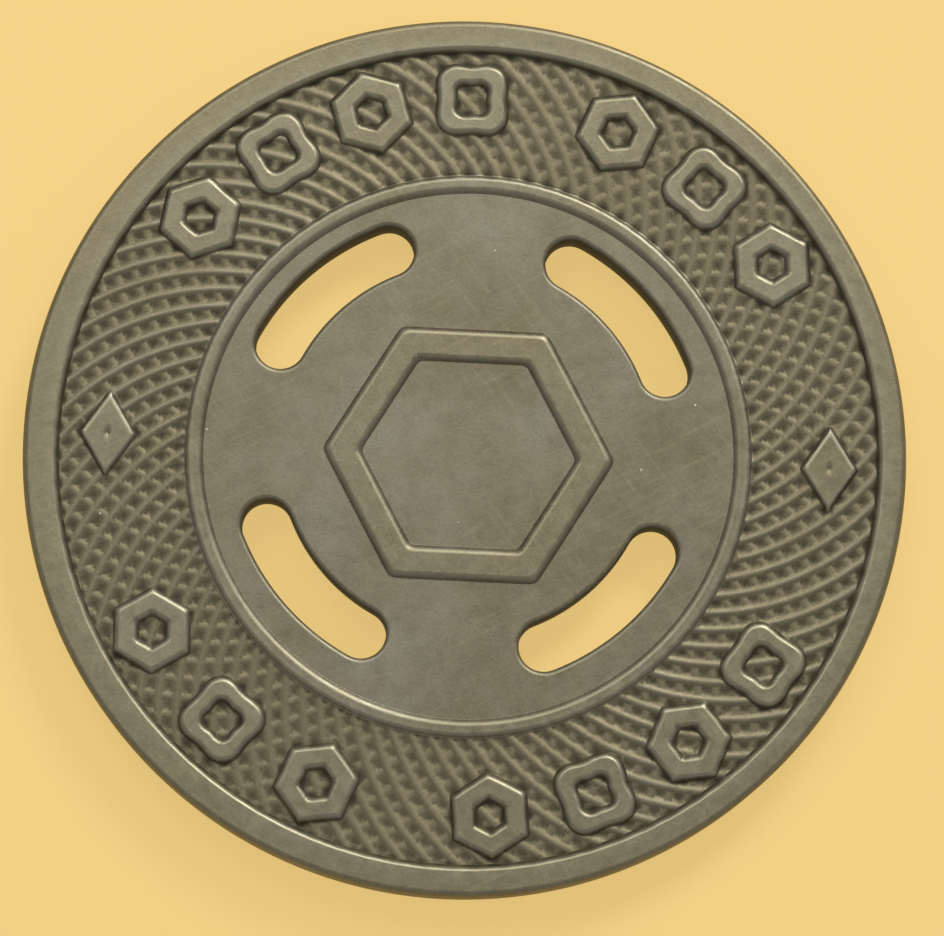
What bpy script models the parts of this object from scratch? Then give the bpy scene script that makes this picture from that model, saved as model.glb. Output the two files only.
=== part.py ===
"""A slotted transit fare token: one flat round piece of nickel silver, struck in relief on both faces and
then punched with four kidney-shaped slots.

The token lies flat. The origin is the middle of the reverse rim's resting plane, +Z points out of the
obverse, and +Y is the top of the obverse. The reverse is the obverse turned half a turn about Y.
"""

import math

import bmesh
import bpy
from mathutils import Matrix, Vector

# Driving dimensions, in metres.
DIAMETER = 0.0230
THICKNESS = 0.0016
EDGE_ROUND = 0.00018
RIM_WIDTH = 0.00077
BAND_WIDTH = 0.00341
BEAD_WIDTH = 0.00033
RELIEF_DRAFT = 0.00008
# How far the relief is struck off the blank's middle, and the slots are punched off the relief's middle.
STRIKE_SHIFT = (0.00009, 0.0)
PUNCH_SHIFT = (-0.00007, 0.00019)

# How far each level lies below the rim's plane.
FIELD_DEPTH = 0.00024
DISC_DEPTH = 0.00017
BEAD_DEPTH = 0.00007
ORNAMENT_DEPTH = 0.00005
EMBLEM_DEPTH = 0.00004

# The four slots through the disc.
SLOT_COUNT = 4
SLOT_WIDTH = 0.00131
SLOT_SPAN_DEG = 39.4
SLOT_EDGE_MARGIN = 0.00077
FIRST_SLOT_DEG = 43.6

# The raised ornaments in the band, and the lozenges between their two rows. A lozenge is measured
# across the band, towards the rim, and along it.
ORNAMENT_HEIGHT = 0.00212
ORNAMENT_STROKE = 0.00050
ORNAMENT_RIM_GAP = 0.00027
CLOVER_WAVE = 0.20
LOZENGE_ACROSS = 0.00135
LOZENGE_ALONG = 0.00205
LOZENGE_STROKE = 0.00047
LOZENGE_DEGS = (0.0, 180.0)
# Each group of ornaments: how many, the angle of the first, and the angle from each to the next.
ORNAMENT_GROUPS = ((4, 141.0, -16.3), (3, 68.0, -16.5), (3, -148.0, 18.0), (4, -84.0, 17.0))

# The hexagonal frame in the middle.
EMBLEM_STROKE = 0.00070
EMBLEM_SLOT_GAP = 0.00120

# How finely round shapes are divided.
DISC_STEPS = 80
ROUND_STEPS = 2
CLOVER_STEPS = 24
SLOT_ARC_STEPS = 10
SLOT_END_STEPS = 8

# How far a raised shape is sunk into the blank, how far a cutter stands out of it, how near two points of
# the turned surface are the same point, and how sharp an edge of it isn't shaded smooth.
ROOT_DEPTH = 0.00010
CUTTER_OVERRUN = 0.00050
WELD_DISTANCE = 0.0000001
SHARP_DEG = 20.0

# Sizes that follow from the driving dimensions.
OUTER_RADIUS = DIAMETER / 2
RIM_INNER_RADIUS = OUTER_RADIUS - RIM_WIDTH
BEAD_OUTER_RADIUS = RIM_INNER_RADIUS - BAND_WIDTH
DISC_RADIUS = BEAD_OUTER_RADIUS - BEAD_WIDTH
ORNAMENT_RING_RADIUS = RIM_INNER_RADIUS - ORNAMENT_RIM_GAP - ORNAMENT_HEIGHT / 2
SLOT_RADIUS = DISC_RADIUS - SLOT_EDGE_MARGIN - SLOT_WIDTH / 2
EMBLEM_RADIUS = SLOT_RADIUS - SLOT_WIDTH / 2 - EMBLEM_SLOT_GAP
MID_HEIGHT = THICKNESS / 2


def clear_scene():
    for obj in list(bpy.data.objects):
        bpy.data.objects.remove(obj)


def level(depth):
    """Height above the token's middle plane of a level that lies this far below the rim."""
    return THICKNESS / 2 - depth


def polar(radius, degrees):
    angle = math.radians(degrees)
    return (radius * math.cos(angle), radius * math.sin(angle))


def arc(centre, radius, start_deg, end_deg, steps):
    """Points along an arc, both ends included."""
    points = []
    for index in range(steps + 1):
        x, y = polar(radius, start_deg + (end_deg - start_deg) * index / steps)
        points.append((centre[0] + x, centre[1] + y))
    return points


def hexagon(radius, first_deg):
    return [polar(radius, first_deg + 60 * index) for index in range(6)]


def hexagon_frame(radius, stroke, first_deg):
    """The outer and inner outline of a hexagonal frame whose sides are as wide as the stroke."""
    inner_radius = radius - stroke / math.cos(math.radians(30))
    return (hexagon(radius, first_deg), hexagon(inner_radius, first_deg))


def clover(radius):
    """A round outline with four soft lobes, which reaches out to the radius."""
    points = []
    for index in range(CLOVER_STEPS):
        degrees = 360 * index / CLOVER_STEPS
        wave = CLOVER_WAVE * (math.cos(math.radians(4 * degrees)) - 1) / 2
        points.append(polar(radius * (1 + wave), degrees + 45))
    return points


def rhombus(width, height):
    return [(width / 2, 0), (0, height / 2), (-width / 2, 0), (0, -height / 2)]


def face_profile():
    """Radius and height of the obverse's turned surface, from the axis to the rim's rounded corner."""
    field = level(FIELD_DEPTH)
    bead = level(BEAD_DEPTH)
    disc = level(DISC_DEPTH)
    rim = level(0)
    points = [
        (0, disc),
        (DISC_RADIUS, disc),
        (DISC_RADIUS + RELIEF_DRAFT, bead),
        (BEAD_OUTER_RADIUS, bead),
        (BEAD_OUTER_RADIUS + RELIEF_DRAFT, field),
        (RIM_INNER_RADIUS - RELIEF_DRAFT, field),
        (RIM_INNER_RADIUS, rim),
    ]
    corner = (OUTER_RADIUS - EDGE_ROUND, rim - EDGE_ROUND)
    return points + arc(corner, EDGE_ROUND, 90, 0, ROUND_STEPS)


def mesh_object(name, bm):
    bmesh.ops.recalc_face_normals(bm, faces=bm.faces)
    mesh = bpy.data.meshes.new(name)
    bm.to_mesh(mesh)
    bm.free()
    obj = bpy.data.objects.new(name, mesh)
    bpy.context.scene.collection.objects.link(obj)
    return obj


def turned_blank():
    """The struck disc without its raised shapes: a turned body whose face is moved by the strike's shift."""
    obverse = face_profile()
    reverse = [(radius, -height) for radius, height in reversed(obverse)]
    bm = bmesh.new()
    verts = [bm.verts.new((radius, 0, MID_HEIGHT + height)) for radius, height in obverse + reverse]
    for first, second in zip(verts, verts[1:]):
        bm.edges.new((first, second))
    profile = bm.verts[:] + bm.edges[:]
    bmesh.ops.spin(bm, geom=profile, cent=(0, 0, 0), axis=(0, 0, 1), angle=math.tau, steps=DISC_STEPS)
    bmesh.ops.remove_doubles(bm, verts=bm.verts, dist=WELD_DISTANCE)
    inner = [vert for vert in bm.verts if vert.co.xy.length < RIM_INNER_RADIUS + WELD_DISTANCE]
    bmesh.ops.translate(bm, verts=inner, vec=(*STRIKE_SHIFT, 0))
    blank = mesh_object("fare_token", bm)
    blank.data.shade_smooth()
    blank.data.set_sharp_from_angle(angle=math.radians(SHARP_DEG))
    return blank


def add_shell(bm, rows):
    """Closes a ring of point rows into one shell, each row joined to the next and the last to the first."""
    for first, second in zip(rows, rows[1:] + rows[:1]):
        for index in range(len(first)):
            after = (index + 1) % len(first)
            bm.faces.new((first[index], first[after], second[after], second[index]))


def add_frame(bm, outer, inner, low, high, place):
    """A flat raised frame between two outlines with the same number of points."""
    corners = ((outer, low), (outer, high), (inner, high), (inner, low))
    rows = [[bm.verts.new(place @ Vector((x, y, z))) for x, y in outline] for outline, z in corners]
    add_shell(bm, rows)


def add_prism(bm, outline, low, high):
    bottom = [bm.verts.new((x, y, low)) for x, y in outline]
    top = [bm.verts.new((x, y, high)) for x, y in outline]
    bm.faces.new(bottom)
    bm.faces.new(top)
    for index in range(len(outline)):
        after = (index + 1) % len(outline)
        bm.faces.new((bottom[index], bottom[after], top[after], top[index]))


def ring_place(degrees, face):
    """Puts a shape drawn about the origin at this angle in the band, with its top towards the rim."""
    turn = Matrix.Rotation(math.radians(degrees - 90), 4, "Z")
    return face @ turn @ Matrix.Translation((0, ORNAMENT_RING_RADIUS, 0))


def add_ornaments(bm, face):
    """Hexagonal frames and clover frames in turn, in groups around the band."""
    radius = ORNAMENT_HEIGHT / 2
    low = level(FIELD_DEPTH) - ROOT_DEPTH
    high = level(ORNAMENT_DEPTH)
    hexagons = hexagon_frame(radius, ORNAMENT_STROKE, 90)
    clovers = (clover(radius), clover(radius - ORNAMENT_STROKE))
    for count, first_deg, pitch_deg in ORNAMENT_GROUPS:
        for index in range(count):
            outer, inner = (hexagons, clovers)[index % 2]
            add_frame(bm, outer, inner, low, high, ring_place(first_deg + index * pitch_deg, face))


def add_lozenges(bm, face):
    """The two upright lozenges, with a small hollow in the middle of each."""
    side_span = math.hypot(LOZENGE_ALONG, LOZENGE_ACROSS)
    shrink = 1 - 2 * LOZENGE_STROKE * side_span / (LOZENGE_ALONG * LOZENGE_ACROSS)
    outer = rhombus(LOZENGE_ALONG, LOZENGE_ACROSS)
    inner = rhombus(LOZENGE_ALONG * shrink, LOZENGE_ACROSS * shrink)
    low = level(FIELD_DEPTH) - ROOT_DEPTH
    for degrees in LOZENGE_DEGS:
        add_frame(bm, outer, inner, low, level(ORNAMENT_DEPTH), ring_place(degrees, face))


def add_emblem(bm, face):
    """The hexagonal frame in the middle of the disc, with two of its sides level."""
    outer, inner = hexagon_frame(EMBLEM_RADIUS, EMBLEM_STROKE, 0)
    add_frame(bm, outer, inner, level(DISC_DEPTH) - ROOT_DEPTH, level(EMBLEM_DEPTH), face)


def raised_shapes():
    """Everything that stands up from the field and the disc, on both faces."""
    obverse = Matrix.Translation((*STRIKE_SHIFT, MID_HEIGHT))
    reverse = obverse @ Matrix.Rotation(math.pi, 4, "Y")
    bm = bmesh.new()
    for face in (obverse, reverse):
        add_ornaments(bm, face)
        add_lozenges(bm, face)
        add_emblem(bm, face)
    return mesh_object("raised_shapes", bm)


def slot_outline(middle_deg):
    """A kidney: two arcs about the token's centre, joined by half circles."""
    half_span = SLOT_SPAN_DEG / 2
    start = middle_deg - half_span
    end = middle_deg + half_span
    half_width = SLOT_WIDTH / 2
    centre = (0, 0)
    outer = arc(centre, SLOT_RADIUS + half_width, start, end, SLOT_ARC_STEPS)
    far_end = arc(polar(SLOT_RADIUS, end), half_width, end, end + 180, SLOT_END_STEPS)
    inner = arc(centre, SLOT_RADIUS - half_width, end, start, SLOT_ARC_STEPS)
    near_end = arc(polar(SLOT_RADIUS, start), half_width, start + 180, start + 360, SLOT_END_STEPS)
    return outer + far_end[1:-1] + inner + near_end[1:-1]


def slot_cutters():
    bm = bmesh.new()
    for index in range(SLOT_COUNT):
        outline = slot_outline(FIRST_SLOT_DEG + 360 * index / SLOT_COUNT)
        add_prism(bm, outline, -CUTTER_OVERRUN, THICKNESS + CUTTER_OVERRUN)
    shift = (STRIKE_SHIFT[0] + PUNCH_SHIFT[0], STRIKE_SHIFT[1] + PUNCH_SHIFT[1], 0)
    bmesh.ops.translate(bm, verts=bm.verts, vec=shift)
    return mesh_object("slot_cutters", bm)


def apply_helper(body, helper, operation):
    """Adds a Boolean that joins or cuts the body with a helper, which isn't part of the token."""
    helper.hide_render = True
    helper.display_type = "WIRE"
    boolean = body.modifiers.new(helper.name, "BOOLEAN")
    boolean.operation = operation
    boolean.solver = "EXACT"
    boolean.object = helper


def nickel_silver():
    """Worn, toned nickel silver: a dull warm grey metal."""
    material = bpy.data.materials.new("nickel_silver")
    material.use_nodes = True
    shader = material.node_tree.nodes["Principled BSDF"]
    shader.inputs["Base Color"].default_value = (0.23, 0.21, 0.15, 1)
    shader.inputs["Metallic"].default_value = 1.0
    shader.inputs["Roughness"].default_value = 0.42
    return material


def build_token():
    token = turned_blank()
    apply_helper(token, raised_shapes(), "UNION")
    apply_helper(token, slot_cutters(), "DIFFERENCE")
    token.data.materials.append(nickel_silver())


clear_scene()
build_token()
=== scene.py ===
"""Looks of a worn, slotted transit fare token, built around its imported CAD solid.

The token lies flat: the reverse rim rests at z = 0, +Z points out of the obverse and +Y is its top.
Each face is one relief: a height for every point in the plane, meshed more finely where it is steep.
"""

import math

import bmesh
import bpy
import numpy as np
from mathutils import Matrix, Vector
from mathutils.geometry import delaunay_2d_cdt


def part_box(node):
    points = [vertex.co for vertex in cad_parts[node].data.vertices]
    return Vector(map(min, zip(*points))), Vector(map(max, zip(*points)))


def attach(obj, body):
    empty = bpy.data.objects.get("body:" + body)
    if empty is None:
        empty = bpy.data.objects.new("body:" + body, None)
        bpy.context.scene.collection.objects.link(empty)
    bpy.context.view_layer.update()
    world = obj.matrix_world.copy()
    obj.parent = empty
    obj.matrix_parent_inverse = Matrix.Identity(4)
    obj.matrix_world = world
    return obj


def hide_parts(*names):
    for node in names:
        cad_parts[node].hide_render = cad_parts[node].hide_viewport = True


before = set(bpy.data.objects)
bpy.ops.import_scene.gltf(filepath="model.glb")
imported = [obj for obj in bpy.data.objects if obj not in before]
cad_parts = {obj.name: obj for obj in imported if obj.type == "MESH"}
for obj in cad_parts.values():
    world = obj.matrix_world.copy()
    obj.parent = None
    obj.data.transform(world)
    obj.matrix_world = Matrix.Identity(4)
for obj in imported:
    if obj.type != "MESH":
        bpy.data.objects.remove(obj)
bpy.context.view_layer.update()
NODE_LOW, NODE_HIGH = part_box("fare_token")

MM = 0.001
RADIUS = (NODE_HIGH.x - NODE_LOW.x) / 2
THICKNESS = NODE_HIGH.z - NODE_LOW.z
MID_HEIGHT = (NODE_HIGH.z + NODE_LOW.z) / 2

# The turned outline of a face, as in the CAD solid. It is struck a little off the blank's middle.
EDGE_ROUND = 0.18 * MM
STRIKE_SHIFT = np.array((0.09, 0.0)) * MM
RIM_WIDTH = 0.77 * MM
BAND_WIDTH = 3.41 * MM
BEAD_WIDTH = 0.33 * MM
RIM_INNER_RADIUS = RADIUS - RIM_WIDTH
BEAD_OUTER_RADIUS = RIM_INNER_RADIUS - BAND_WIDTH
DISC_RADIUS = BEAD_OUTER_RADIUS - BEAD_WIDTH

# How far each level lies below the rim's plane.
PIT_DEPTH = 0.25 * MM
RIDGE_HEIGHT = 0.075 * MM
DISC_DEPTH = 0.17 * MM
BEAD_DEPTH = 0.07 * MM
ORNAMENT_DEPTH = 0.05 * MM
EMBLEM_DEPTH = 0.04 * MM

# How wide the worn slope at the side of each raised shape is.
RIM_SLOPE = 0.18 * MM
BEAD_SLOPE = 0.18 * MM
ORNAMENT_SLOPE = 0.18 * MM
EMBLEM_SLOPE = 0.19 * MM

# The slots through the disc, punched a little off the relief's middle, with rolled lips.
SLOT_COUNT = 4
SLOT_WIDTH = 1.31 * MM
SLOT_SPAN_DEG = 39.4
SLOT_EDGE_MARGIN = 0.77 * MM
FIRST_SLOT_DEG = 43.6
SLOT_ROLL = 0.13 * MM
PUNCH_SHIFT = np.array((-0.07, 0.19)) * MM
SLOT_RADIUS = DISC_RADIUS - SLOT_EDGE_MARGIN - SLOT_WIDTH / 2

# The raised ornaments, lozenges and emblem.
ORNAMENT_HEIGHT = 2.12 * MM
ORNAMENT_STROKE = 0.50 * MM
ORNAMENT_RIM_GAP = 0.27 * MM
CLOVER_WAVE = 0.20
LOZENGE_ACROSS = 1.35 * MM
LOZENGE_ALONG = 2.05 * MM
LOZENGE_STROKE = 0.50 * MM
LOZENGE_DEGS = (0.5, 179.3)
# How far below the rim's plane the dimple in a lozenge may reach.
HOLLOW_DEPTH = 0.11 * MM
# Each group of ornaments: how many, the angle of the first, and the angle from each to the next.
ORNAMENT_GROUPS = ((4, 141.0, -16.3), (3, 68.0, -16.5), (3, -148.0, 18.0), (4, -84.0, 17.0))
ORNAMENT_RING_RADIUS = RIM_INNER_RADIUS - ORNAMENT_RIM_GAP - ORNAMENT_HEIGHT / 2
EMBLEM_STROKE = 0.70 * MM
EMBLEM_SLOT_GAP = 1.20 * MM
EMBLEM_RADIUS = SLOT_RADIUS - SLOT_WIDTH / 2 - EMBLEM_SLOT_GAP
# A hexagon's turn from corner to corner, and the distance to its sides as a share of that to corners.
HEXAGON_TURN_DEG = 60
HEXAGON_APOTHEM = math.cos(math.radians(HEXAGON_TURN_DEG / 2))
# How little the corners are rounded.
HEXAGON_SHARPNESS = 60
LOZENGE_SHARPNESS = 40

# The crossing ridges: circles through the token's centre, turned about it in equal steps.
RIDGE_CIRCLE_RADIUS = 6.81 * MM
RIDGE_STEP = math.radians(4.0)
RIDGE_TOP_SHARE = 0.02
RIDGE_FOOT_SHARE = 0.50
# Each family of ridges: the way it leans, where in a step its first ridge lies, its share of the height
# on average, how much more it has where it is least worn, and the angle of that place.
RIDGE_FAMILIES = (
    (1, -0.30, 0.80, 0.18, -30.0),
    (-1, 0.53, 0.56, 0.12, 10.0),
)
# The ridges are struck a little off the face's own middle.
RIDGE_SHIFT = np.array((-0.052, -0.100)) * MM
# Where the mesh has points across one step between ridges, as shares of the step from a ridge.
RIDGE_SAMPLES = (0.0, 0.17, 0.32, 0.5, 0.68, 0.83)

# The maps of wear, dirt and painted shade: how far apart their cells are, how wide an area each place is
# compared with, how far below the rim the walls are cut off before looking for hollows, and how worn the
# slots' lips are.
MAP_STEP = 0.02 * MM
HOLLOW_CAP_DEPTH = 0.165 * MM
HOLLOW_RADIUS = 0.11 * MM
EDGE_RADIUS = 0.06 * MM
LIP_WEAR = 0.012

# How finely the face is meshed, and the step over which its slope is measured.
RIM_POINTS = 560
BEAD_POINTS = 380
OUTLINE_POINTS = 721
OUTLINE_SPACING = 0.10 * MM
SLOT_POINT_SPACING = 0.10 * MM
LIP_SPACING = 0.12 * MM
SLOPE_STEP = 0.004 * MM
DISC_SPACING = 0.40 * MM
# Where the rows of points along a slope lie, as shares of its width from the middle.
SLOPE_ROWS = (-0.54, -0.46, -0.17, 0.18, 0.58)
# How far other points stay off a slope's middle, as a share of its width, and off a slot's lip, as a
# share of the spacing of the rows there.
CLEAR_SHARE = 0.95
LIP_CLEAR_SHARE = 1.6
EDGE_STEPS = 3
WELD_DISTANCE = 1e-9


def smooth_step(value):
    value = np.clip(value, 0, 1)
    return value * value * (3 - 2 * value)


def wrap(angle):
    return (angle + math.pi) % math.tau - math.pi


class SidedOutline:
    """An outline around a point with straight sides and slightly rounded corners."""

    def __init__(self, apothem, normals_deg, sharpness):
        self.apothem = apothem
        self.normals_deg = normals_deg
        self.sharpness = sharpness

    def radius(self, angle):
        total = 0
        for normal in self.normals_deg:
            facing = np.clip(np.cos(angle - math.radians(normal)), 0, None)
            total = total + facing ** self.sharpness
        return self.apothem / total ** (1 / self.sharpness)

    def lean(self, angle):
        """Distance straight to the outline as a share of the distance to it away from its middle."""
        return self.apothem / self.radius(angle)


class CloverOutline:
    """An outline around a point with four round lobes."""

    def __init__(self, reach):
        self.reach = reach

    def radius(self, angle):
        return self.reach * (1 + CLOVER_WAVE * (np.cos(4 * angle - math.pi) - 1) / 2)

    def lean(self, angle):
        """Distance straight to the outline as a share of the distance to it away from its middle."""
        slope = 2 * CLOVER_WAVE * self.reach * np.sin(4 * angle - math.pi) / self.radius(angle)
        return 1 / np.sqrt(1 + slope * slope)


def hexagon_outline(corner_radius, first_corner_deg):
    apothem = corner_radius * HEXAGON_APOTHEM
    normals_deg = [first_corner_deg + HEXAGON_TURN_DEG * (side + 0.5) for side in range(6)]
    return SidedOutline(apothem, normals_deg, HEXAGON_SHARPNESS)


def rhombus_outline(half_width, half_height):
    apothem = half_width * half_height / math.hypot(half_width, half_height)
    lean_deg = math.degrees(math.atan2(half_width, half_height))
    normals_deg = (lean_deg, 180 - lean_deg, 180 + lean_deg, -lean_deg)
    return SidedOutline(apothem, normals_deg, LOZENGE_SHARPNESS)


def depth_inside(outline, x, y):
    """Distance from each point to the outline, more than 0 inside it."""
    angle = np.arctan2(y, x)
    return (outline.radius(angle) - np.hypot(x, y)) * outline.lean(angle)


def outline_row(outline, inset, spacing):
    """Evenly spaced points along an outline, moved in by the inset."""
    angle = np.linspace(0, math.tau, OUTLINE_POINTS)
    reach = outline.radius(angle) - inset / outline.lean(angle)
    x = reach * np.cos(angle)
    y = reach * np.sin(angle)
    length = np.concatenate(([0], np.cumsum(np.hypot(np.diff(x), np.diff(y)))))
    count = max(8, round(math.tau * outline.radius(angle).mean() / spacing))
    where = np.arange(count) * length[-1] / count
    return np.stack((np.interp(where, length, x), np.interp(where, length, y)), axis=1)


class Frame:
    """A raised frame between an outer and an inner outline, placed on a face."""

    def __init__(self, ring_radius, ring_deg, outer, inner, hollow_depth, top_depth, slope):
        self.turn = math.radians(ring_deg - 90)
        ring_angle = math.radians(ring_deg)
        self.centre = (ring_radius * math.cos(ring_angle), ring_radius * math.sin(ring_angle))
        self.outer = outer
        self.inner = inner
        self.hollow_depth = hollow_depth
        self.top_depth = top_depth
        self.slope = slope
        self.reach = outer.radius(np.linspace(0, math.tau, OUTLINE_POINTS)).max() + 2 * slope

    def depth(self, x, y, solid=False):
        """Distance into the frame's band from its nearer side, or if solid from its outer side."""
        local_x = x - self.centre[0]
        local_y = y - self.centre[1]
        along = local_x * math.cos(self.turn) + local_y * math.sin(self.turn)
        across = local_y * math.cos(self.turn) - local_x * math.sin(self.turn)
        from_outer = depth_inside(self.outer, along, across)
        if solid:
            return from_outer
        return np.minimum(from_outer, -depth_inside(self.inner, along, across))

    def rows(self):
        """Closed rows of points along both slopes of the frame."""
        cosine = math.cos(self.turn)
        sine = math.sin(self.turn)
        turn = np.array(((cosine, sine), (-sine, cosine)))
        found = []
        for share in SLOPE_ROWS:
            inset = share * self.slope
            for outline, into_band in ((self.outer, inset), (self.inner, -inset)):
                row = outline_row(outline, into_band, OUTLINE_SPACING)
                found.append(row @ turn + self.centre)
        return found


def make_frames():
    """The raised frames of one face: ornaments, lozenges and emblem."""
    reach = ORNAMENT_HEIGHT / 2
    hexagon_inner = reach - ORNAMENT_STROKE / HEXAGON_APOTHEM
    hexagons = (hexagon_outline(reach, 90), hexagon_outline(hexagon_inner, 90))
    clovers = (CloverOutline(reach), CloverOutline(reach - ORNAMENT_STROKE))
    frames = []
    for count, first_deg, pitch_deg in ORNAMENT_GROUPS:
        for index in range(count):
            shape = (hexagons, clovers)[index % 2]
            place = (ORNAMENT_RING_RADIUS, first_deg + index * pitch_deg)
            frames.append(Frame(*place, *shape, PIT_DEPTH, ORNAMENT_DEPTH, ORNAMENT_SLOPE))
    side_span = math.hypot(LOZENGE_ALONG, LOZENGE_ACROSS)
    shrink = 1 - 2 * LOZENGE_STROKE * side_span / (LOZENGE_ALONG * LOZENGE_ACROSS)
    lozenge = (
        rhombus_outline(LOZENGE_ALONG / 2, LOZENGE_ACROSS / 2),
        rhombus_outline(LOZENGE_ALONG / 2 * shrink, LOZENGE_ACROSS / 2 * shrink),
    )
    for degrees in LOZENGE_DEGS:
        place = (ORNAMENT_RING_RADIUS, degrees)
        frames.append(Frame(*place, *lozenge, HOLLOW_DEPTH, ORNAMENT_DEPTH, ORNAMENT_SLOPE))
    emblem_inner = EMBLEM_RADIUS - EMBLEM_STROKE / HEXAGON_APOTHEM
    emblem = (hexagon_outline(EMBLEM_RADIUS, 0), hexagon_outline(emblem_inner, 0))
    frames.append(Frame(0, 90, *emblem, DISC_DEPTH, EMBLEM_DEPTH, EMBLEM_SLOPE))
    return frames


FRAMES = make_frames()


def ridge_angles(radius):
    """Angle between the two ridges through a point and the point's own direction, at this radius."""
    return np.arccos(np.clip(radius / (2 * RIDGE_CIRCLE_RADIUS), -1, 1))


def ridge_rise(x, y):
    """How high the crossing ridges stand: 0 in the pits between them, near 1 on the highest tops."""
    radius = np.hypot(x - RIDGE_SHIFT[0], y - RIDGE_SHIFT[1])
    angle = np.arctan2(y - RIDGE_SHIFT[1], x - RIDGE_SHIFT[0])
    rise = 0
    for lean, first, strength, extra, least_worn_deg in RIDGE_FAMILIES:
        family_angle = angle + lean * ridge_angles(radius)
        share = np.abs((family_angle / RIDGE_STEP - first + 0.5) % 1 - 0.5)
        round_top = 1 - smooth_step((share - RIDGE_TOP_SHARE) / (RIDGE_FOOT_SHARE - RIDGE_TOP_SHARE))
        height = strength + extra * np.cos(2 * (angle - math.radians(least_worn_deg)))
        rise = np.maximum(rise, height * round_top)
    return rise


def wall_rise(distance, slope):
    """How far up a worn wall a place is, by its distance past the wall's middle into the raised side.

    The wall has a steep foot and a rounded top.
    """
    share = np.clip(distance / slope + 0.5, 0, 1)
    return 1 - (1 - share) ** 2


def relief(x, y, ridge_height=RIDGE_HEIGHT):
    """Height of a face at each point, measured up from the token's middle plane."""
    radius = np.hypot(x, y)
    rim = THICKNESS / 2
    pit = rim - PIT_DEPTH
    disc = rim - DISC_DEPTH
    bead = rim - BEAD_DEPTH
    past_disc = wall_rise(radius - DISC_RADIUS, BEAD_SLOPE)
    past_bead = 1 - wall_rise(BEAD_OUTER_RADIUS - radius, BEAD_SLOPE)
    past_band = wall_rise(radius - RIM_INNER_RADIUS, RIM_SLOPE)
    height = disc + (bead - disc) * past_disc + (pit - bead) * past_bead + (rim - pit) * past_band
    height = height + ridge_height * ridge_rise(x, y) * past_bead * (1 - past_band)
    for shape in FRAMES:
        near = np.hypot(x - shape.centre[0], y - shape.centre[1]) < shape.reach
        rise = wall_rise(shape.depth(x[near], y[near]), shape.slope)
        inside = shape.depth(x[near], y[near], solid=True) > 0
        base = np.where(inside, rim - shape.hollow_depth, height[near])
        base = np.maximum(base, height[near])
        height[near] = base * (1 - rise) + (rim - shape.top_depth) * rise
    return height


def outward(points, side):
    """The direction straight out of a face at each point. Side is -1 for the reverse."""
    x, y = points.T
    step = SLOPE_STEP
    along_x = (relief(x + step, y) - relief(x - step, y)) / (2 * step)
    along_y = (relief(x, y + step) - relief(x, y - step)) / (2 * step)
    directions = np.column_stack((-along_x * side, -along_y, np.full(len(x), side)))
    return directions / np.linalg.norm(directions, axis=1, keepdims=True)


def soften(heights, radius):
    """A square map of heights, averaged with a Gaussian of this radius."""
    along = np.fft.fftfreq(heights.shape[0], MAP_STEP)[:, None]
    across = np.fft.rfftfreq(heights.shape[1], MAP_STEP)[None, :]
    share = np.exp(-2 * (math.pi * radius) ** 2 * (along ** 2 + across ** 2))
    return np.fft.irfft2(np.fft.rfft2(heights) * share, heights.shape)


def sample(values, points):
    """Reads a square map at each point, between its four nearest cells."""
    where = np.clip(points / MAP_STEP + len(values) // 2, 0, len(values) - 2)
    cell = where.astype(int)
    right, up = (where - cell).T
    column, row = cell.T
    below = values[row, column] * (1 - right) + values[row, column + 1] * right
    above = values[row + 1, column] * (1 - right) + values[row + 1, column + 1] * right
    return below * (1 - up) + above * up


def wear_and_shade_maps():
    """Square maps of one face: how far each place lies in a hollow, and how far it is a sharp edge."""
    count = int(RADIUS / MAP_STEP) + 2
    place = np.arange(-count, count + 1) * MAP_STEP
    x, y = np.meshgrid(place, place)
    heights = relief(x, y)
    plain = relief(x, y, ridge_height=0)
    capped = np.minimum(heights, THICKNESS / 2 - HOLLOW_CAP_DEPTH)
    return soften(capped, HOLLOW_RADIUS) - capped, plain - soften(plain, EDGE_RADIUS)


def ring_row(radius, count):
    angle = np.arange(count) * math.tau / count
    return np.stack((radius * np.cos(angle), radius * np.sin(angle)), axis=1)


def lattice_points():
    """Points along and between the crossing ridges."""
    inner = BEAD_OUTER_RADIUS + CLEAR_SHARE * BEAD_SLOPE
    outer = RIM_INNER_RADIUS - CLEAR_SHARE * RIM_SLOPE
    steps = round(math.tau / RIDGE_STEP)
    samples = np.add.outer(np.arange(steps), np.array(RIDGE_SAMPLES)).ravel()
    forward, backward = [(samples + family[1]) * RIDGE_STEP for family in RIDGE_FAMILIES]
    across, back = np.meshgrid(forward, backward)
    # A circle of one family and a circle of the other cross at this angle and reach from the middle.
    spread = ((across - back) % math.tau) / 2
    reach = 2 * RIDGE_CIRCLE_RADIUS * np.cos(spread)
    angle = back + spread
    points = np.stack((reach * np.cos(angle), reach * np.sin(angle)), axis=-1) + RIDGE_SHIFT
    radius = np.hypot(points[..., 0], points[..., 1])
    return points[(reach > 0) & (radius > inner) & (radius < outer)]


def disc_points():
    """A coarse triangular grid over the disc."""
    reach = DISC_RADIUS - CLEAR_SHARE * BEAD_SLOPE
    count = int(reach / DISC_SPACING) + 1
    rows = np.arange(-count, count + 1)
    x, y = np.meshgrid(rows * DISC_SPACING, rows * DISC_SPACING * math.sqrt(0.75))
    x = x + (rows[:, None] % 2) * DISC_SPACING / 2
    keep = np.hypot(x, y) < reach
    return np.stack((x[keep], y[keep]), axis=1)


def clear_of_frames(points):
    """Drops the points that a frame's own rows replace, and those on its flat top."""
    keep = np.ones(len(points), bool)
    for shape in FRAMES:
        keep &= shape.depth(points[:, 0], points[:, 1]) < -CLEAR_SHARE * shape.slope
    return points[keep]


def slot_middles():
    return [math.radians(FIRST_SLOT_DEG + 360 * index / SLOT_COUNT) for index in range(SLOT_COUNT)]


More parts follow.
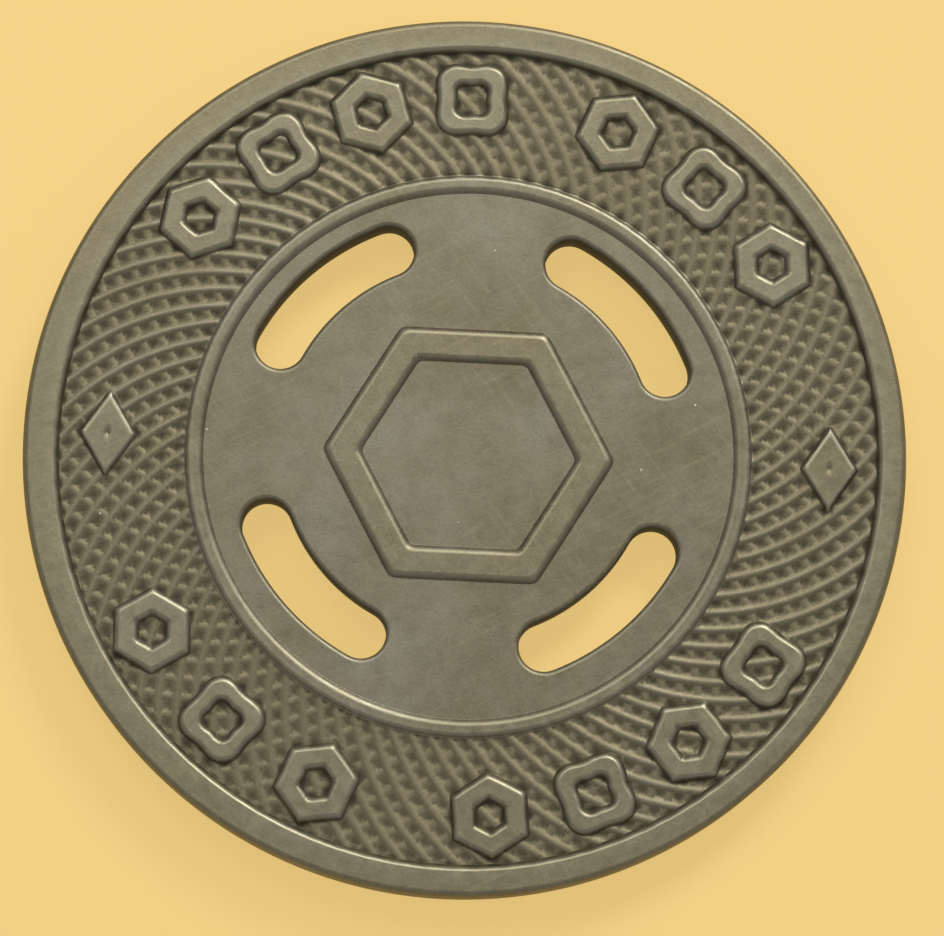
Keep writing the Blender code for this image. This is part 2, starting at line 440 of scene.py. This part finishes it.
def slot_loop(middle, offset):
    """The outline of a slot moved out by the offset, with as many points whatever the offset."""
    half_span = math.radians(SLOT_SPAN_DEG / 2)
    half_width = SLOT_WIDTH / 2
    arc_count = round(SLOT_RADIUS * 2 * half_span / SLOT_POINT_SPACING)
    end_count = round(math.pi * half_width / SLOT_POINT_SPACING)
    reach = half_width + offset
    along = np.arange(arc_count) / arc_count
    round_end = np.arange(end_count) / end_count * math.pi
    outer = middle - half_span + along * 2 * half_span
    inner = middle + half_span - along * 2 * half_span
    far = middle + half_span
    near = middle - half_span
    x = (
        (SLOT_RADIUS + reach) * np.cos(outer),
        SLOT_RADIUS * math.cos(far) + reach * np.cos(far + round_end),
        (SLOT_RADIUS - reach) * np.cos(inner),
        SLOT_RADIUS * math.cos(near) + reach * np.cos(near + math.pi + round_end),
    )
    y = (
        (SLOT_RADIUS + reach) * np.sin(outer),
        SLOT_RADIUS * math.sin(far) + reach * np.sin(far + round_end),
        (SLOT_RADIUS - reach) * np.sin(inner),
        SLOT_RADIUS * math.sin(near) + reach * np.sin(near + math.pi + round_end),
    )
    return np.stack((np.concatenate(x), np.concatenate(y)), axis=1) + PUNCH_SHIFT


def slot_distance(points, side):
    """Distance to the nearest slot's wall, less than 0 inside a slot. Side is -1 for the reverse."""
    x, y = (points * (side, 1) - PUNCH_SHIFT).T
    angle = np.arctan2(y, x)
    half_span = math.radians(SLOT_SPAN_DEG / 2)
    nearest = np.full(len(points), np.inf)
    for middle in slot_middles():
        away = np.clip(wrap(angle - middle), -half_span, half_span) + middle
        gap = np.hypot(x - SLOT_RADIUS * np.cos(away), y - SLOT_RADIUS * np.sin(away))
        nearest = np.minimum(nearest, gap - SLOT_WIDTH / 2)
    return nearest


def face_points(side):
    """The closed rows of one face, its edge and its slots first, and its other points.

    Side is -1 for the reverse, whose slots are mirrored.
    """
    mirror = np.array((side, 1))
    rows = [(ring_row(RADIUS - EDGE_ROUND, RIM_POINTS) - STRIKE_SHIFT) * mirror]
    for offset in (SLOT_ROLL, SLOT_ROLL + LIP_SPACING):
        rows.extend(slot_loop(middle, offset) * mirror for middle in slot_middles())
    for shape in FRAMES:
        rows.extend(shape.rows())
    for share in SLOPE_ROWS:
        rows.append(ring_row(RIM_INNER_RADIUS + share * RIM_SLOPE, RIM_POINTS))
        rows.append(ring_row(BEAD_OUTER_RADIUS + share * BEAD_SLOPE, BEAD_POINTS))
        rows.append(ring_row(DISC_RADIUS + share * BEAD_SLOPE, BEAD_POINTS))
    free = clear_of_frames(np.concatenate((lattice_points(), disc_points())))
    lip = SLOT_ROLL + LIP_CLEAR_SHARE * LIP_SPACING
    return rows, free[slot_distance(free, side) > lip]


def triangulate(rows, free):
    """Joins a face's points with triangles, keeping each row's own edges and leaving the slots open."""
    points = np.concatenate((*rows, free))
    starts = np.cumsum([0] + [len(row) for row in rows])
    owner = np.full(len(points), -1)
    edges = []
    for number, (start, end) in enumerate(zip(starts, starts[1:])):
        owner[start:end] = number
        along = np.arange(start, end)
        edges.extend(zip(along.tolist(), np.roll(along, -1).tolist()))
    flat = [Vector(point) for point in points]
    _, _, triangles, origin, _, _ = delaunay_2d_cdt(flat, edges, [], 0, WELD_DISTANCE)
    index = np.array([sources[0] for sources in origin])
    triangles = index[np.array(triangles)]
    # Row 0 is the outer edge and the rows after it are the slots, so triangles within one are in a hole.
    owners = owner[triangles]
    same_row = (owners[:, 0] == owners[:, 1]) & (owners[:, 1] == owners[:, 2])
    in_slot = same_row & (owners[:, 0] >= 1) & (owners[:, 0] <= SLOT_COUNT)
    return triangles[~in_slot]


class Solid:
    """Collects the points and faces of the token's one closed surface."""

    def __init__(self):
        self.points = []
        self.faces = []
        self.count = 0

    def add_points(self, points):
        self.points.append(points)
        self.count += len(points)
        return np.arange(self.count - len(points), self.count)

    def add_strip(self, first, second):
        """Joins two closed rows of points with quads."""
        quads = np.stack((first, second, np.roll(second, -1), np.roll(first, -1)), axis=1)
        self.faces.extend(quads.tolist())


def wall_rows(top, bottom, corner):
    """Offset and height of the rows down a wall, from a rounded top corner to a rounded bottom one."""
    rows = []
    for index in range(1, EDGE_STEPS + 1):
        angle = math.pi / 2 * index / EDGE_STEPS
        offset = max(corner * (1 - math.sin(angle)), 0)
        rows.append((offset, top - corner * (1 - math.cos(angle))))
    mirrored = [(offset, top + bottom - height) for offset, height in reversed(rows)]
    return rows + mirrored


class Marks:
    """What the material reads at each point of the mesh: hollow, worn edge and slot wall."""

    def __init__(self):
        self.values = {"hollow": [], "edge": [], "wall": []}

    def add(self, **marks):
        for name, values in marks.items():
            self.values[name].append(values)

    def write(self, mesh):
        for name, parts in self.values.items():
            attribute = mesh.attributes.new(name, "FLOAT", "POINT")
            attribute.data.foreach_set("value", np.concatenate(parts))


def add_face(solid, marks, side, hollow_map, edge_map):
    """Adds one face, and gives its normals and the numbered rows of its edge and its slots."""
    rows, free = face_points(side)
    triangles = triangulate(rows, free)
    points = np.concatenate((*rows, free))
    height = relief(points[:, 0], points[:, 1])
    # The reverse is the same relief turned over about the Y axis.
    flat = points * (side, 1) + STRIKE_SHIFT
    numbers = solid.add_points(np.column_stack((flat, MID_HEIGHT + side * height)))
    solid.faces.extend(numbers[triangles].tolist())
    # How deep in a hollow each point lies, which the material paints dark as dirt and shade.
    marks.add(
        hollow=sample(hollow_map, points) / MM,
        edge=sample(edge_map, points) / MM,
        wall=np.zeros(len(points)),
    )
    starts = np.cumsum([0] + [len(row) for row in rows[:SLOT_COUNT + 1]])
    return outward(points, side), [numbers[start:end] for start, end in zip(starts, starts[1:])]


def add_wall(solid, marks, top_row, bottom_row, middle):
    """Joins the two faces round a slot, or round the outer edge where there is no slot middle."""
    in_slot = middle is not None
    depth = DISC_DEPTH if in_slot else 0
    corner = SLOT_ROLL if in_slot else EDGE_ROUND
    previous = top_row
    for offset, height in wall_rows(NODE_HIGH.z - depth, NODE_LOW.z + depth, corner):
        if in_slot:
            flat = slot_loop(middle, offset) + STRIKE_SHIFT
        else:
            flat = ring_row(RADIUS - offset, RIM_POINTS)
        row = solid.add_points(np.column_stack((flat, np.full(len(flat), height))))
        # The straight part of a slot's wall is marked so that the material paints shade on it.
        marks.add(
            hollow=np.zeros(len(flat)),
            edge=np.full(len(flat), LIP_WEAR if in_slot and offset > 0 else 0.0),
            wall=np.full(len(flat), 1.0 if in_slot and offset == 0 else 0.0),
        )
        solid.add_strip(previous, row)
        previous = row
    solid.add_strip(previous, bottom_row)


def build_token():
    """The whole token as one closed mesh: both faces, the outer edge and the slots' walls."""
    solid = Solid()
    marks = Marks()
    maps = wear_and_shade_maps()
    obverse_normals, obverse_rows = add_face(solid, marks, 1, *maps)
    reverse_normals, reverse_rows = add_face(solid, marks, -1, *maps)
    for top_row, bottom_row, middle in zip(obverse_rows, reverse_rows, [None] + slot_middles()):
        add_wall(solid, marks, top_row, bottom_row, middle)
    mesh = bpy.data.meshes.new("token")
    mesh.from_pydata(np.concatenate(solid.points).tolist(), [], solid.faces)
    marks.write(mesh)
    bm = bmesh.new()
    bm.from_mesh(mesh)
    bmesh.ops.recalc_face_normals(bm, faces=bm.faces)
    bm.to_mesh(mesh)
    bm.free()
    mesh.shade_smooth()
    # On the faces the normals are the relief's own, because the mesh is coarser than the relief.
    directions = np.empty(3 * solid.count)
    mesh.vertex_normals.foreach_get("vector", directions)
    face_normals = np.concatenate((obverse_normals, reverse_normals)).ravel()
    directions[:len(face_normals)] = face_normals
    mesh.normals_split_custom_set_from_vertices(directions.reshape(-1, 3).tolist())
    token = bpy.data.objects.new("token", mesh)
    bpy.context.scene.collection.objects.link(token)
    return token


# The sizes of the metal's marks, as noise cells to a metre.
BLOTCH_SCALE = 350.0
STAIN_SCALE = 1100.0
GRIME_SCALE = 2500.0
GRAIN_SCALE = 14000.0

# The noise values over which the blotches, the stains and the wiped areas come in, and the grime varies.
BLOTCH_NOISE = (0.35, 0.65)
STAIN_NOISE = (0.45, 0.75)
WIPED_NOISE = (0.42, 0.62)
GRIME_NOISE = (0.3, 0.7)

# Each set of scratches has a direction and a scale. They are so many times as long as wide, and show
# where the noise lies between these two values.
SCRATCH_SETS = ((28.0, 9000.0), (-50.0, 7000.0))
SCRATCH_STRETCH = 20.0
SCRATCH_NOISE = (0.55, 0.72)

# Nicks: cells to a metre, how far and how finely they are bent, the share of cells that have a nick,
# and its largest reach and its blur as shares of a cell.
NICK_SCALE = 1500.0
NICK_WARP = 0.12 * MM
NICK_WARP_SCALE = 5000.0
NICKED_CELLS = 0.30
NICK_REACH = 0.07
NICK_BLUR = 0.03


class Nodes:
    """Short ways to add nodes to one material."""

    def __init__(self, name):
        self.material = bpy.data.materials.new(name)
        self.material.use_nodes = True
        self.tree = self.material.node_tree
        self.shader = self.tree.nodes["Principled BSDF"]

    def add(self, kind, **values):
        """Adds a node. Each value is for a property, or else for an input, with _ for a space."""
        node = self.tree.nodes.new(kind)
        for name, value in values.items():
            if hasattr(node, name):
                setattr(node, name, value)
            else:
                node.inputs[name.replace("_", " ")].default_value = value
        return node

    def link(self, source, target):
        self.tree.links.new(source, target)

    def math(self, operation, first, second=0.0):
        node = self.tree.nodes.new("ShaderNodeMath")
        node.operation = operation
        for socket, value in zip(node.inputs, (first, second)):
            if isinstance(value, (int, float)):
                socket.default_value = value
            else:
                self.link(value, socket)
        return node.outputs[0]

    def spread(self, value, low, high, to_low=0.0, to_high=1.0):
        """Maps low..high to to_low..to_high and holds it there."""
        node = self.add("ShaderNodeMapRange")
        self.link(value, node.inputs["Value"])
        node.inputs["From Min"].default_value = low
        node.inputs["From Max"].default_value = high
        node.inputs["To Min"].default_value = to_low
        node.inputs["To Max"].default_value = to_high
        return node.outputs["Result"]

    def noise(self, place, scale, detail=3.0, roughness=0.5):
        node = self.add("ShaderNodeTexNoise", Scale=scale, Detail=detail, Roughness=roughness)
        self.link(place, node.inputs["Vector"])
        return node.outputs["Fac"]

    def around(self, noise, contrast):
        """Turns a noise into a change up and down, as large as the contrast between 0 and 1."""
        return self.math("MULTIPLY", self.math("SUBTRACT", noise, 0.5), contrast)

    def scratches(self, place):
        """Fine straight marks, one set in each direction."""
        marks = []
        for degrees, scale in SCRATCH_SETS:
            turned = self.add("ShaderNodeMapping", vector_type="TEXTURE")
            self.link(place, turned.inputs["Vector"])
            turned.inputs["Rotation"].default_value = (0, 0, math.radians(degrees))
            turned.inputs["Scale"].default_value = (SCRATCH_STRETCH, 1.0, 1.0)
            streaks = self.noise(turned.outputs[0], scale, 2.0, 0.5)
            marks.append(self.spread(streaks, *SCRATCH_NOISE))
        return self.math("ADD", *marks)

    def nicks(self, place):
        """Small scattered dents with bare metal in them."""
        cells = self.add("ShaderNodeTexVoronoi", Scale=NICK_SCALE)
        bent = self.add("ShaderNodeVectorMath", operation="ADD")
        warp = self.add("ShaderNodeTexNoise", Scale=NICK_WARP_SCALE, Detail=1.0)
        shift = self.add("ShaderNodeVectorMath", operation="SCALE")
        self.link(place, warp.inputs["Vector"])
        self.link(warp.outputs["Color"], shift.inputs[0])
        shift.inputs["Scale"].default_value = NICK_WARP
        self.link(place, bent.inputs[0])
        self.link(shift.outputs[0], bent.inputs[1])
        self.link(bent.outputs[0], cells.inputs["Vector"])
        picked = self.add("ShaderNodeSeparateColor")
        self.link(cells.outputs["Color"], picked.inputs[0])
        reach = self.spread(picked.outputs["Red"], 1 - NICKED_CELLS, 1.0, 0.0, NICK_REACH)
        inside = self.math("SUBTRACT", reach, cells.outputs["Distance"])
        return self.spread(inside, 0.0, NICK_BLUR)

    def brighten(self, colour, amount):
        """Makes a colour lighter by a share of itself, or darker where the amount is less than 0."""
        node = self.add("ShaderNodeVectorMath", operation="SCALE")
        self.link(colour, node.inputs[0])
        self.link(self.math("ADD", amount, 1.0), node.inputs["Scale"])
        return node.outputs[0]

    def mix(self, share, first, second):
        """Mixes two colours, each a socket or three numbers."""
        node = self.add("ShaderNodeMix", data_type="RGBA")
        if isinstance(share, float):
            node.inputs["Factor"].default_value = share
        else:
            self.link(share, node.inputs["Factor"])
        for socket, value in ((node.inputs[6], first), (node.inputs[7], second)):
            if isinstance(value, tuple):
                socket.default_value = (*value, 1.0)
            else:
                self.link(value, socket)
        return node.outputs[2]


METAL_COLOUR = (0.218, 0.204, 0.152)
RIM_COLOUR = (0.205, 0.182, 0.116)
TONED_COLOUR = (0.168, 0.149, 0.096)
FIELD_COLOUR = (0.170, 0.149, 0.096)
# Dark dirt colour, also used to paint the shade of the hollows and of the slots' walls.
DIRT_AND_SHADE_COLOUR = (0.030, 0.025, 0.012)
BROWN_COLOUR = (0.195, 0.168, 0.122)
WORN_COLOUR = (0.46, 0.44, 0.34)

# How much of the colour below each of these hides at most.
RIM_TONE = 0.8
STAIN_TONE = 0.6
HOLLOW_DIRT_AND_SHADE = 0.9
# The slots' walls are darkened as painted shade.
WALL_SHADE = 0.75
EDGE_BARENESS = 0.3

# The depths below the rim's plane over which the rim's tone fades out and the field's fades in.
RIM_TONE_DEPTHS = (0.03 * MM, 0.09 * MM)
FIELD_DEPTHS = (DISC_DEPTH + 0.005 * MM, PIT_DEPTH - 0.6 * RIDGE_HEIGHT)

# Where dirt and painted shade begin and are thickest in a hollow, where bare metal begins and is
# brightest on an edge, in the millimetres of the wear and shade maps, and how ragged both are.
DIRT_AND_SHADE_HOLLOW = (0.006, 0.036)
BARE_EDGE = (0.004, 0.022)
DIRT_AND_SHADE_RAGGEDNESS = 0.03
BARE_RAGGEDNESS = 0.4

# How much the grain, the grime and the scratches lighten and darken the metal.
GRAIN_CONTRAST = 0.5
GRIME_CONTRAST = 0.35
SCRATCH_CONTRAST = 0.16

# Roughness: its range over the grime, and what dirt and painted shade, the field and bare metal add to
# it.
ROUGHNESS_RANGE = (0.42, 0.54)
DIRT_AND_SHADE_ROUGHNESS = 0.25
FIELD_ROUGHNESS = 0.12
BARE_ROUGHNESS = -0.06
# The thinnest dirt and painted shade that dulls the metal, and how metallic it is where they are
# fullest.
DULLING_DIRT_AND_SHADE = 0.2
DIRT_AND_SHADE_METALLIC = 0.4

# How deep the waves and the grain of the surface are, and how strongly each shows.
WAVE_HEIGHT = 0.02 * MM
WAVE_STRENGTH = 0.2
GRAIN_HEIGHT = 0.006 * MM
GRAIN_STRENGTH = 0.35
NICK_DEPTH_SHARE = 1.5


def nickel_silver():
    """Worn, toned nickel silver: dark dirt and painted shade in hollows, painted shade on slot walls,
    blotchy toned metal, and bright worn edges.
    """
    nodes = Nodes("nickel_silver")
    place = nodes.add("ShaderNodeTexCoord").outputs["Object"]
    parts = nodes.add("ShaderNodeSeparateXYZ")
    nodes.link(place, parts.inputs[0])
    from_middle = nodes.math("ABSOLUTE", nodes.math("SUBTRACT", parts.outputs["Z"], MID_HEIGHT))
    depth = nodes.math("SUBTRACT", THICKNESS / 2, from_middle)
    hollow = nodes.add("ShaderNodeAttribute", attribute_name="hollow").outputs["Fac"]
    edge = nodes.add("ShaderNodeAttribute", attribute_name="edge").outputs["Fac"]
    wall = nodes.add("ShaderNodeAttribute", attribute_name="wall").outputs["Fac"]
    blotches = nodes.noise(place, BLOTCH_SCALE, 4.0, 0.6)
    stains = nodes.noise(place, STAIN_SCALE, 3.0, 0.6)
    grime = nodes.noise(place, GRIME_SCALE, 3.0, 0.6)
    grain = nodes.noise(place, GRAIN_SCALE, 2.0, 0.6)

    # Clean metal: toned in blotches, stained brown, and with its own tone in the field and on the rim.
    field = nodes.spread(depth, *FIELD_DEPTHS)
    colour = nodes.mix(nodes.spread(blotches, *BLOTCH_NOISE), METAL_COLOUR, TONED_COLOUR)
    colour = nodes.mix(nodes.spread(stains, *STAIN_NOISE, 0.0, STAIN_TONE), colour, BROWN_COLOUR)
    colour = nodes.mix(field, colour, FIELD_COLOUR)
    colour = nodes.mix(nodes.spread(depth, *RIM_TONE_DEPTHS, RIM_TONE, 0.0), colour, RIM_COLOUR)
    uneven = nodes.around(grain, GRAIN_CONTRAST)
    uneven = nodes.math("ADD", uneven, nodes.around(grime, GRIME_CONTRAST))
    wiped = nodes.math("MULTIPLY", nodes.scratches(place), nodes.spread(blotches, *WIPED_NOISE))
    uneven = nodes.math("ADD", uneven, nodes.math("MULTIPLY", wiped, SCRATCH_CONTRAST))
    colour = nodes.brighten(colour, uneven)

    # Dirt and painted shade in the hollows, and painted shade on the slots' walls.
    ragged = nodes.around(grime, DIRT_AND_SHADE_RAGGEDNESS)
    dirt_and_shade = nodes.spread(nodes.math("ADD", hollow, ragged), *DIRT_AND_SHADE_HOLLOW, 0.0, HOLLOW_DIRT_AND_SHADE)
    dirt_and_shade = nodes.math("MAXIMUM", dirt_and_shade, nodes.math("MULTIPLY", wall, WALL_SHADE))
    colour = nodes.mix(dirt_and_shade, colour, DIRT_AND_SHADE_COLOUR)

    # Bare metal on the edges and in the nicks.
    ragged_edge = nodes.math("ADD", edge, nodes.math("MULTIPLY", ragged, BARE_RAGGEDNESS))
    nicked = nodes.nicks(place)
    bared = nodes.math("MAXIMUM", nodes.spread(ragged_edge, *BARE_EDGE, 0.0, EDGE_BARENESS), nicked)
    colour = nodes.mix(bared, colour, WORN_COLOUR)
    nodes.link(colour, nodes.shader.inputs["Base Color"])
    metallic = nodes.spread(dirt_and_shade, DULLING_DIRT_AND_SHADE, 1.0, 1.0, DIRT_AND_SHADE_METALLIC)
    nodes.link(metallic, nodes.shader.inputs["Metallic"])

    roughness = nodes.spread(grime, *GRIME_NOISE, *ROUGHNESS_RANGE)
    for share, added in ((dirt_and_shade, DIRT_AND_SHADE_ROUGHNESS), (field, FIELD_ROUGHNESS), (bared, BARE_ROUGHNESS)):
        roughness = nodes.math("ADD", roughness, nodes.math("MULTIPLY", share, added))
    nodes.link(roughness, nodes.shader.inputs["Roughness"])

    waves = nodes.add("ShaderNodeBump", Strength=WAVE_STRENGTH, Distance=WAVE_HEIGHT)
    nodes.link(grime, waves.inputs["Height"])
    dented = nodes.math("SUBTRACT", grain, nodes.math("MULTIPLY", nicked, NICK_DEPTH_SHARE))
    bump = nodes.add("ShaderNodeBump", Strength=GRAIN_STRENGTH, Distance=GRAIN_HEIGHT)
    nodes.link(dented, bump.inputs["Height"])
    nodes.link(waves.outputs["Normal"], bump.inputs["Normal"])
    nodes.link(bump.outputs["Normal"], nodes.shader.inputs["Normal"])
    return nodes.material


# The floor lights itself for most of its brightness, so that the slots show it nearly as bright.
FLOOR_SIZE = 3.0
FLOOR_COLOUR = (0.87, 0.61, 0.215)
FLOOR_REFLECTED_SHARE = 0.18
FLOOR_GLOW = 0.80
FLOOR_ROUGHNESS = 0.7


def pale_floor():
    nodes = Nodes("pale_floor")
    reflected = [part * FLOOR_REFLECTED_SHARE for part in FLOOR_COLOUR]
    nodes.shader.inputs["Base Color"].default_value = (*reflected, 1.0)
    nodes.shader.inputs["Roughness"].default_value = FLOOR_ROUGHNESS
    nodes.shader.inputs["Emission Color"].default_value = (*FLOOR_COLOUR, 1.0)
    nodes.shader.inputs["Emission Strength"].default_value = FLOOR_GLOW
    mesh = bpy.data.meshes.new("floor")
    half = FLOOR_SIZE / 2
    corners = [(-half, -half, 0), (half, -half, 0), (half, half, 0), (-half, half, 0)]
    mesh.from_pydata(corners, [], [(0, 1, 2, 3)])
    floor = bpy.data.objects.new("floor", mesh)
    bpy.context.scene.collection.objects.link(floor)
    mesh.materials.append(nodes.material)


def aim(obj, place, target, roll_deg=0.0):
    """Puts an object at a place with its -Z towards a target, turned about that line."""
    obj.location = place
    back = (Vector(place) - Vector(target)).normalized()
    right = Vector((0, 1, 0)).cross(back).normalized()
    turn = Matrix((right, back.cross(right), back)).transposed()
    obj.rotation_euler = (turn @ Matrix.Rotation(math.radians(roll_deg), 3, "Z")).to_euler()


# Each light: its name, its place, its size across, and its power.
LIGHTS = (
    ("key_light", (0.104, 0.222, 0.206), 0.10, 0.70),
    ("top_light", (-0.07, 0.15, 0.28), 0.16, 0.28),
)
LIGHT_COLOUR = (1.0, 0.985, 0.94)
SKY_COLOUR = (1.0, 0.99, 0.96)
SKY_STRENGTH = 0.50


def soft_light(name, place, size, power):
    light = bpy.data.lights.new(name, "AREA")
    light.shape = "DISK"
    light.size = size
    light.energy = power
    light.color = LIGHT_COLOUR
    obj = bpy.data.objects.new(name, light)
    bpy.context.scene.collection.objects.link(obj)
    aim(obj, place, (0, 0, 0))


def studio():
    for light in LIGHTS:
        soft_light(*light)
    world = bpy.data.worlds.new("studio")
    world.use_nodes = True
    world.node_tree.nodes["Background"].inputs["Color"].default_value = (*SKY_COLOUR, 1.0)
    world.node_tree.nodes["Background"].inputs["Strength"].default_value = SKY_STRENGTH
    bpy.context.scene.world = world
    bpy.context.scene.view_settings.view_transform = "Standard"


# The camera looks down on the obverse, a little from its lower edge.
CAMERA_DISTANCE = 0.130
CAMERA_TILT_DEG = 7.3
CAMERA_SIDE_DEG = 265.0
CAMERA_ROLL_DEG = 2.7
CAMERA_LENS = 190.8
CAMERA_SENSOR = 36.0
CAMERA_CLIP_START = 0.01
CAMERA_TARGET = (0.000194, -0.000362, THICKNESS)


def camera():
    lens = bpy.data.cameras.new("camera")
    lens.lens = CAMERA_LENS
    lens.sensor_width = CAMERA_SENSOR
    lens.clip_start = CAMERA_CLIP_START
    obj = bpy.data.objects.new("camera", lens)
    bpy.context.scene.collection.objects.link(obj)
    tilt = math.radians(CAMERA_TILT_DEG)
    side = math.radians(CAMERA_SIDE_DEG)
    outward_reach = math.sin(tilt)
    away = Vector((outward_reach * math.cos(side), outward_reach * math.sin(side), math.cos(tilt)))
    aim(obj, Vector(CAMERA_TARGET) + away * CAMERA_DISTANCE, CAMERA_TARGET, CAMERA_ROLL_DEG)
    bpy.context.scene.camera = obj


token = build_token()
token.data.materials.append(nickel_silver())
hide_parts("fare_token")
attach(token, "root")
pale_floor()
studio()
camera()
